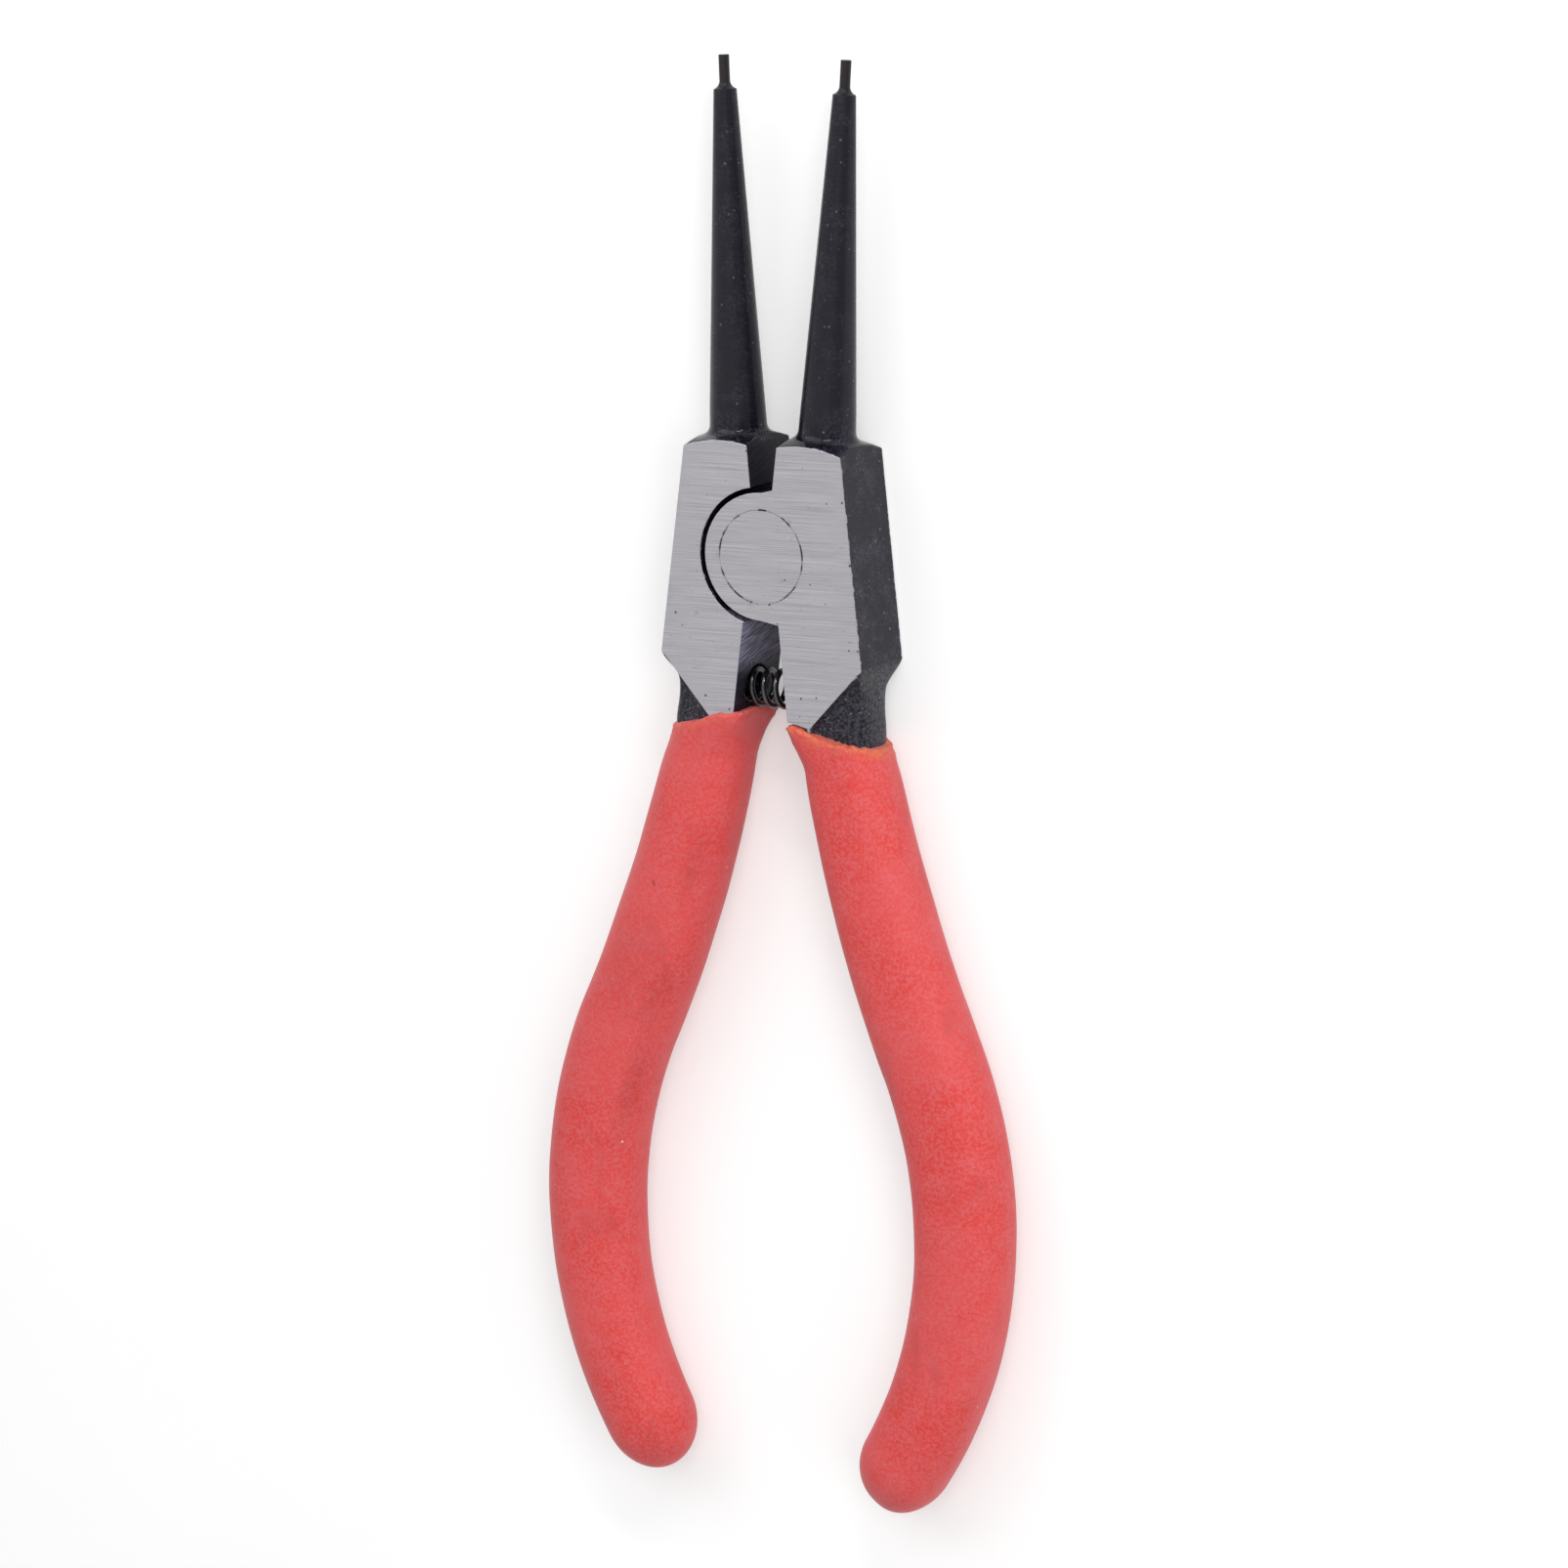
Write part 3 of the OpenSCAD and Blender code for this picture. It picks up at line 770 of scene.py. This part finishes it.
def forge_neck(bm, neck, side):
    """Puts a smoothly rounded neck in the place of the plain one, and tags what needs no rounding."""
    caps = cut_out_neck(bm, neck, side)
    steps = [(i / neck.rings) ** NECK_CROWDING for i in range(neck.rings + 1)]
    heights = [mix(neck.corner_y, neck.end_y, step) for step in steps]
    old = set(bm.faces) - set(caps)
    skin = add_loft(bm, [neck_ring(neck, side, y) for y in heights])
    points = list({vert for face in skin for vert in face.verts})
    bmesh.ops.remove_doubles(bm, verts=points, dist=WELD)
    bmesh.ops.recalc_face_normals(bm, faces=bm.faces)
    for face in bm.faces:
        face.tag = face not in old


def clean_copy(node):
    """A clean copy of a CAD node's mesh."""
    bm = bmesh.new()
    bm.from_mesh(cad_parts[node].data)
    bmesh.ops.remove_doubles(bm, verts=bm.verts, dist=WELD)
    bmesh.ops.dissolve_limit(
        bm, angle_limit=FLAT_ANGLE, verts=bm.verts, edges=bm.edges, use_dissolve_boundaries=False
    )
    return bm


def eased_mesh(name, bm, steel):
    """A smooth mesh with the rounding of its sharp edges stored as weights."""
    weights = bm.edges.layers.float.new("bevel_weight_edge")
    for edge in bm.edges:
        edge.smooth = True
        if len(edge.link_faces) == 2 and edge.calc_face_angle() > steel.sharp_angle:
            edge[weights] = rounding(edge, steel) / steel.forging_round
            edge.smooth = edge[weights] > 0
    for face in bm.faces:
        face.smooth = True
    mesh = bpy.data.meshes.new(name)
    bm.to_mesh(mesh)
    bm.free()
    return mesh


def round_edges(piece, steel):
    """Rounds the weighted edges and keeps the flat faces flat beside them."""
    bevel = piece.modifiers.new("Rounded edges", "BEVEL")
    bevel.limit_method = "WEIGHT"
    bevel.width = steel.forging_round
    bevel.segments = EDGE_STEPS
    bevel.use_clamp_overlap = False
    flat = piece.modifiers.new("Flat faces", "WEIGHTED_NORMAL")
    flat.keep_sharp = True


class PLIERS_OT_levers(bpy.types.Operator):
    """Finish the two forged levers"""

    bl_idname = "pliers.levers"
    bl_label = "Levers"

    def execute(self, context):
        steel = context.scene.pliers_steel
        material = lever_material(steel)
        for side, sign in SIDES.items():
            node = f"{side}_lever"
            bm = clean_copy(node)
            forge_neck(bm, context.scene.pliers_neck, sign)
            mesh = eased_mesh(f"{side}_forging", bm, steel)
            piece = link_mesh(f"{side}_lever_forging", mesh, material)
            round_edges(piece, steel)
            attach(piece, side)
            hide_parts(node)
        return {"FINISHED"}


class PLIERS_OT_rivet(bpy.types.Operator):
    """Finish the flush rivet"""

    bl_idname = "pliers.rivet"
    bl_label = "Rivet"

    def execute(self, context):
        steel = context.scene.pliers_steel
        mesh = eased_mesh("rivet", clean_copy("pivot_rivet"), steel)
        piece = link_mesh("flush_rivet", mesh, rivet_material(steel))
        round_edges(piece, steel)
        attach(piece, "left")
        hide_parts("pivot_rivet")
        return {"FINISHED"}


# Spring and grips


def ring_mesh(name, rings):
    """A closed mesh through rings with the same number of points."""
    bm = bmesh.new()
    add_loft(bm, rings)
    bmesh.ops.recalc_face_normals(bm, faces=bm.faces)
    mesh = bpy.data.meshes.new(name)
    bm.to_mesh(mesh)
    bm.free()
    return mesh


def coil_rings(spring):
    """Rings of points along the spring's wire, with a closed turn at each end."""
    wire_r = spring.wire_d / 2
    middle = (SPRING_LOW + SPRING_HIGH) / 2
    coil_r = (SPRING_HIGH.z - SPRING_LOW.z) / 2 - wire_r
    half_run = (SPRING_HIGH.x - SPRING_LOW.x) / 2 - wire_r
    pitch = (2 * half_run - 2 * spring.wire_d) / (spring.turns - 2)
    rings = []
    for i in range(spring.turns * spring.steps + 1):
        turn = i / spring.steps
        angle = math.tau * turn
        closed = min(turn, 1) + max(turn - spring.turns + 1, 0)
        along = closed * spring.wire_d + (turn - closed) * pitch - half_run
        ring = []
        for j in range(spring.wire_sides):
            spin = math.tau * j / spring.wire_sides
            x = along + wire_r * math.sin(spin)
            radius = coil_r + wire_r * math.cos(spin)
            ring.append(middle + Vector((x, radius * math.cos(angle), radius * math.sin(angle))))
        rings.append(ring)
    return rings


class PLIERS_OT_spring(bpy.types.Operator):
    """Wind the return spring between the handles"""

    bl_idname = "pliers.spring"
    bl_label = "Spring"

    def execute(self, context):
        spring = context.scene.pliers_spring
        mesh = ring_mesh("coil", coil_rings(spring))
        mesh.shade_smooth()
        mesh.set_sharp_from_angle(angle=COIL_SHARP_ANGLE)
        piece = link_mesh("coil_spring", mesh, wire_material(context.scene.pliers_steel))
        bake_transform(piece)
        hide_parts("return_spring")
        return {"FINISHED"}


class HandleLine:
    """Centre line of the right handle: an outward sweep that runs into the inward bow."""

    def __init__(self, grip):
        self.lead_len = grip.lead_r * grip.lead_turn
        self.length = self.lead_len + grip.bow_r * grip.bow_turn
        self.lead_r = grip.lead_r
        self.bow_r = grip.bow_r
        self.start = grip.heading
        self.turn_at = grip.heading + grip.lead_turn
        self.lead_centre = Vector((grip.handle_x, grip.lip_y)) + grip.lead_r * self.outward(self.start)
        bow_start = self.lead_centre - grip.lead_r * self.outward(self.turn_at)
        self.bow_centre = bow_start - grip.bow_r * self.outward(self.turn_at)

    @staticmethod
    def outward(heading):
        """Direction across the handle, away from the tool's middle."""
        return Vector((math.cos(heading), math.sin(heading)))

    def heading(self, s):
        """Heading at a distance s from the lip."""
        if s < self.lead_len:
            return self.start + s / self.lead_r
        return self.turn_at - (s - self.lead_len) / self.bow_r

    def point(self, s):
        """Point at a distance s from the lip."""
        if s < self.lead_len:
            return self.lead_centre - self.lead_r * self.outward(self.heading(s))
        return self.bow_centre + self.bow_r * self.outward(self.heading(s))


def grip_half_w(grip, line, s):
    """Half width of the grip at a distance s from the lip."""
    if s < grip.belly_s:
        return mix(grip.lip_w, grip.belly_w, math.sin(math.pi / 2 * max(s, 0) / grip.belly_s)) / 2
    t = min((s - grip.belly_s) / (line.length - grip.belly_s), 1)
    return mix(grip.belly_w, grip.end_w, 1 - math.cos(math.pi / 2 * t)) / 2


def uneven(across, side, waves):
    """Uneven waves along the lip, different on each side of the tool."""
    to_half_width, shift, layer = waves
    return noise.noise(Vector((across * to_half_width, side * shift, layer)))


def lip_shift(grip, side, across):
    """How far the lip strays from its straight line, at a place across the handle from -1 to 1."""
    shift = grip.lip_wave * uneven(across, side, WAVES) + grip.lip_tooth * uneven(across, side, TEETH)
    if side < 0:
        return shift + grip.lip_rise * (1 - ease_over(RISE_SPAN, across))
    shift -= grip.lip_sag * ease_over(SAG_SPAN, across)
    return shift - grip.lip_droop * (1 - ease_over(DROOP_SPAN, across))


def lip_spread(grip, side, s, across):
    """How far the lip flares outward, at a distance s from the lip and a place across the handle."""
    if across < 0:
        flare = grip.left_flare if side < 0 else grip.right_flare
        return (1 - ease(s / grip.flare_run)) * across * flare
    flare = grip.lip_flare if side > 0 else 0
    return flare * across * (1 - ease(s / (2 * grip.lip_blend)))


def grip_ring(grip, line, s, side, size=1.0, inset=0.0):
    """One ring of the grip's skin at a distance s from the lip, on one side of the tool."""
    oval = ease(s / grip.lip_blend)
    level = ease(s / (2 * grip.lip_blend))
    half_w = grip_half_w(grip, line, s) * size - inset
    lip_half_t = (HALF_T + grip.lip_coat) / (1 + LIP_SLANT)
    half_t = mix(lip_half_t, grip.thickness / 2, oval) * size - inset
    centre = line.point(s)
    turn = mix(-grip.lip_tilt, line.heading(s), level)
    rim_share = 1 - ease(s / (2 * grip.rim_run))
    middle = Vector((side * centre.x, centre.y, MID_Z))
    ring = []
    for j in range(grip.around):
        angle = math.tau * j / grip.around
        power = mix(LIP_POWER, OVAL_POWER, oval) if math.cos(angle) < 0 else OVAL_POWER
        across = power_of(math.cos(angle), power)
        through = power_of(math.sin(angle), power) * (1 - LIP_SLANT * (1 - oval) * across)
        x, y = centre + (half_w * across + lip_spread(grip, side, s, across)) * line.outward(turn)
        y += lip_shift(grip, side, across) * (1 - level)
        point = Vector((side * x, y, MID_Z + side * half_t * through))
        lump = grip.lump * noise.noise(point / LUMP_SIZE + Vector((side * LUMP_SHIFT, 0, 0)))
        lump += grip.rim_lump * rim_share * noise.noise(point / RIM_LUMP_SIZE)
        ring.append(middle + (point - middle) * (1 + size * lump / half_w))
    return ring


def grip_rings(grip, line, side):
    """All rings of one grip with their distances from the lip: mouth, bead, stem and round end."""
    bead = grip.lip_bead
    rings = [(0, grip_ring(grip, line, 0, side, size=LIP_MOUTH))]
    for i in range(BEAD_STEPS + 1):
        angle = math.pi / 2 * i / BEAD_STEPS
        s = bead * (1 - math.cos(angle))
        rings.append((s, grip_ring(grip, line, s, side, inset=bead * (1 - math.sin(angle)))))
    for i in range(1, grip.rings + 1):
        s = mix(bead, line.length, (i / grip.rings) ** STEM_CROWDING)
        rings.append((s, grip_ring(grip, line, s, side)))
    for i in range(1, DOME_STEPS + 1):
        angle = DOME_TURN * i / DOME_STEPS
        s = line.length + grip.dome * math.sin(angle)
        rings.append((s, grip_ring(grip, line, s, side, size=math.cos(angle))))
    return rings


def mark_rim(mesh, distances, grip, side):
    """Stores how thin the coat is along the lip, from 0 to 1; it is thinner on the right."""
    marks = mesh.attributes.new("rim", "FLOAT", "POINT")
    thin = [RIM_THINNESS[side] * (1 - ease(s / grip.rim_run)) for s in distances]
    marks.data.foreach_set("value", [value for value in thin for _ in range(grip.around)])


def rub_mark(tree, coords, mark):
    """A soft oval mark on the coat, strongest in its middle."""
    middle, turn, size, strength = mark
    made = tree.nodes.new("ShaderNodeMapping")
    made.vector_type = "TEXTURE"
    made.inputs["Location"].default_value = (middle[0] * MM, middle[1] * MM, FACE_HIGH)
    made.inputs["Rotation"].default_value = (0, 0, math.radians(turn))
    made.inputs["Scale"].default_value = (size[0] * MM, size[1] * MM, RUB_DEPTH)
    feed(tree, made.inputs["Vector"], coords)
    away = vector_calc(tree, "DISTANCE", made.outputs[0], (0, 0, 0))
    return remap(tree, away, RUB_CORE, 1, strength, 0)


def rubbed_colour(tree, coords, grip, base, fine):
    """The coat's colour with faint rubs all over and the marks on the left grip."""
    drawn = vector_calc(tree, "MULTIPLY", vector_calc(tree, "ADD", coords, RUB_SHIFT), RUB_STRETCH)
    rubs = place(tree, "Mottle", drawn, size=5 * MM, low=0.56, high=0.78)
    base = mix_colour(tree, times(tree, rubs, ramp(tree, fine, 0.3, 0.15)), base, grip.stain)
    patches = place(tree, "Mottle", coords, size=1.1 * MM, low=0.30, high=0.70)
    patchy = ramp(tree, patches, 0.6, 0.4)
    for mark in RUB_MARKS:
        base = mix_colour(tree, times(tree, rub_mark(tree, coords, mark), patchy), base, grip.stain)
    return base


def coat_material(grip):
    """Matt red dipped coat: patchy pigment, bloom, rub marks, dust and a thin bright lip."""
    made, tree, shader, coords = new_material("dipped_coat")
    broad = place(tree, "Mottle", coords, size=13 * MM, low=0.36, high=0.64)
    middle = place(tree, "Mottle", coords, size=3.2 * MM, low=0.34, high=0.68)
    fine = place(tree, "Mottle", coords, size=0.42 * MM, low=0.38, high=0.64)
    base = mix_colour(tree, broad, grip.red, grip.deep_red)
    bloom = ramp(tree, fine, 0.66, times(tree, middle, 0.26))
    base = mix_colour(tree, bloom, base, grip.pale_red)
    base = rubbed_colour(tree, coords, grip, base, fine)

    rim = tree.nodes.new("ShaderNodeAttribute")
    rim.attribute_name = "rim"
    grit = place(tree, "Mottle", coords, size=0.60 * MM, low=0.44, high=0.56)
    thin = times(tree, rim.outputs["Fac"], ramp(tree, grit, 0.75, 0.15))
    base = mix_colour(tree, thin, base, grip.rim_orange)
    dust = place(tree, "Specks", coords, size=2.6 * MM, share=0.16, dot=0.055)
    flecks = place(tree, "Specks", coords, size=0.75 * MM, share=0.12, dot=0.10)
    light = most(tree, times(tree, dust, 0.8), times(tree, flecks, 0.35))
    base = mix_colour(tree, light, base, grip.speck)

    feed(tree, shader.inputs["Base Color"], base)
    feed(tree, shader.inputs["Roughness"], mix_value(tree, fine, *ROUGH["coat"]))
    shader.inputs["Specular IOR Level"].default_value = 0.35
    shader.inputs["Sheen Weight"].default_value = 0.18
    shader.inputs["Sheen Roughness"].default_value = 0.45
    shader.inputs["Sheen Tint"].default_value = (0.85, 0.88, 1.0, 1)
    skin = ramp(tree, fine, 0.5, middle)
    skin = ramp(tree, times(tree, rim.outputs["Fac"], grit), 1.6, skin)
    bump(tree, shader, skin, *RELIEF["coat"])
    return made


class PLIERS_OT_grips(bpy.types.Operator):
    """Dip both handles in their red coat"""

    bl_idname = "pliers.grips"
    bl_label = "Grips"

    def execute(self, context):
        grip = context.scene.pliers_grip
        line = HandleLine(grip)
        material = coat_material(grip)
        for side, sign in SIDES.items():
            distances, rings = zip(*grip_rings(grip, line, sign))
            mesh = ring_mesh(f"{side}_coat", rings)
            mark_rim(mesh, distances, grip, sign)
            mesh.shade_smooth()
            piece = link_mesh(f"{side}_grip_coat", mesh, material)
            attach(piece, side)
            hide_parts(f"{side}_grip")
        return {"FINISHED"}


# Stage


def view_axes(stage):
    """The camera's right, up and back directions in the tool's frame, as matrix rows."""
    turn = Matrix.Rotation(-stage.yaw, 3, "Y")
    tilt = Matrix.Rotation(stage.pitch, 3, "X")
    spin = Matrix.Rotation(stage.roll, 3, "Z")
    return spin @ tilt @ turn


def add_camera(stage):
    """Camera at the photograph's angle, distance and framing."""
    axes = view_axes(stage)
    data = bpy.data.cameras.new("view")
    data.sensor_width = stage.sensor
    data.lens = stage.sensor * stage.focal_px / stage.frame_px
    data.clip_start = CLIP_START
    made = bpy.data.objects.new("view", data)
    bpy.context.scene.collection.objects.link(made)
    back = axes.transposed()
    place_at = back @ Vector((-stage.shift_x, -stage.shift_y, stage.distance)) + Vector((0, 0, MID_Z))
    made.matrix_world = Matrix.Translation(place_at) @ back.to_4x4()
    bpy.context.scene.camera = made


def add_panel(name, aim, place_at, size, power, mirrored):
    """A soft rectangular studio lamp, with or without a mirror image of itself on the steel."""
    data = bpy.data.lights.new(name, "AREA")
    data.shape = "RECTANGLE"
    data.size, data.size_y = size
    data.energy = power
    made = bpy.data.objects.new(name, data)
    bpy.context.scene.collection.objects.link(made)
    made.location = place_at
    made.visible_glossy = mirrored
    made.rotation_euler = (aim - Vector(place_at)).to_track_quat("-Z", "Y").to_euler()


def add_world(stage):
    """White surroundings: white to the eye, softer on matt surfaces, a dark flag in reflections."""
    world = bpy.data.worlds.new("tent")
    bpy.context.scene.world = world
    world.use_nodes = True
    tree = world.node_tree
    sky = tree.nodes["Background"]
    sky.inputs["Color"].default_value = (1, 1, 1, 1)
    path = tree.nodes.new("ShaderNodeLightPath")
    coords = tree.nodes.new("ShaderNodeTexCoord")
    toward = tree.nodes.new("ShaderNodeVectorMath")
    toward.operation = "DOT_PRODUCT"
    feed(tree, toward.inputs[0], coords.outputs["Generated"])
    feed(tree, toward.inputs[1], FLAG_PLACE)
    mirrored = remap(tree, toward.outputs["Value"], *FLAG_EDGE, 1, 1 - stage.flag)
    lit = mix_value(tree, path.outputs["Is Glossy Ray"], stage.ambient, mirrored)
    feed(tree, sky.inputs["Strength"], mix_value(tree, path.outputs["Is Camera Ray"], lit, 1.0))


def add_floor(stage):
    """Plain pale floor under the tool, as white far away as it is near by."""
    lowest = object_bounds()[0].z
    bm = bmesh.new()
    bmesh.ops.create_grid(bm, x_segments=1, y_segments=1, size=FLOOR_HALF)
    mesh = bpy.data.meshes.new("floor")
    bm.to_mesh(mesh)
    bm.free()
    made, tree, shader, coords = new_material("pale_floor")
    paper = place(tree, "Mottle", coords, size=40 * MM)
    paler = [min(1.0, channel * PALER) for channel in stage.floor]
    feed(tree, shader.inputs["Base Color"], mix_colour(tree, paper, stage.floor, paler))
    shader.inputs["Roughness"].default_value = 0.9
    shader.inputs["Specular IOR Level"].default_value = 0.1
    shader.inputs["Emission Color"].default_value = (1, 1, 1, 1)
    path = tree.nodes.new("ShaderNodeLightPath")
    seen = most(tree, path.outputs["Is Camera Ray"], path.outputs["Is Glossy Ray"])
    far = vector_calc(tree, "DISTANCE", coords, (0, 0, 0))
    glow = remap(tree, far, *FLOOR_FADE, stage.floor_glow, stage.far_glow)
    feed(tree, shader.inputs["Emission Strength"], times(tree, seen, glow))
    floor = link_mesh("floor", mesh, made)
    floor.location.z = lowest
    floor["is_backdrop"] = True


class PLIERS_OT_stage(bpy.types.Operator):
    """Set up the floor, the light and the camera"""

    bl_idname = "pliers.stage"
    bl_label = "Stage"

    def execute(self, context):
        stage = context.scene.pliers_stage
        add_floor(stage)
        add_world(stage)
        aim = (CAD_BOX[0] + CAD_BOX[1]) / 2
        for name, lamp in LAMPS.items():
            add_panel(name, aim, *lamp)
        add_camera(stage)
        context.scene.view_settings.view_transform = "Standard"
        return {"FINISHED"}


class PLIERS_PT_panel(bpy.types.Panel):
    """Lists the steps that dress the pliers"""

    bl_label = "Circlip Pliers"
    bl_idname = "PLIERS_PT_panel"
    bl_space_type = "VIEW_3D"
    bl_region_type = "UI"
    bl_category = "Pliers"

    def draw(self, context):
        for operator in OPERATORS:
            self.layout.operator(operator.bl_idname)


SETTINGS = {
    "pliers_steel": SteelSettings,
    "pliers_neck": NeckSettings,
    "pliers_spring": SpringSettings,
    "pliers_grip": GripSettings,
    "pliers_stage": StageSettings,
}
OPERATORS = (PLIERS_OT_levers, PLIERS_OT_rivet, PLIERS_OT_spring, PLIERS_OT_grips, PLIERS_OT_stage)


def register():
    """Registers the classes and puts the settings on the scene."""
    for cls in (*SETTINGS.values(), *OPERATORS, PLIERS_PT_panel):
        bpy.utils.register_class(cls)
    for name, cls in SETTINGS.items():
        setattr(bpy.types.Scene, name, PointerProperty(type=cls))


def unregister():
    """Takes the settings and classes away again."""
    for name in SETTINGS:
        delattr(bpy.types.Scene, name)
    for cls in reversed((*SETTINGS.values(), *OPERATORS, PLIERS_PT_panel)):
        bpy.utils.unregister_class(cls)


def main():
    """Registers the steps and dresses the frame."""
    register()
    bpy.ops.pliers.levers()
    bpy.ops.pliers.rivet()
    bpy.ops.pliers.spring()
    bpy.ops.pliers.grips()
    bpy.ops.pliers.stage()


if __name__ == "__main__":
    main()
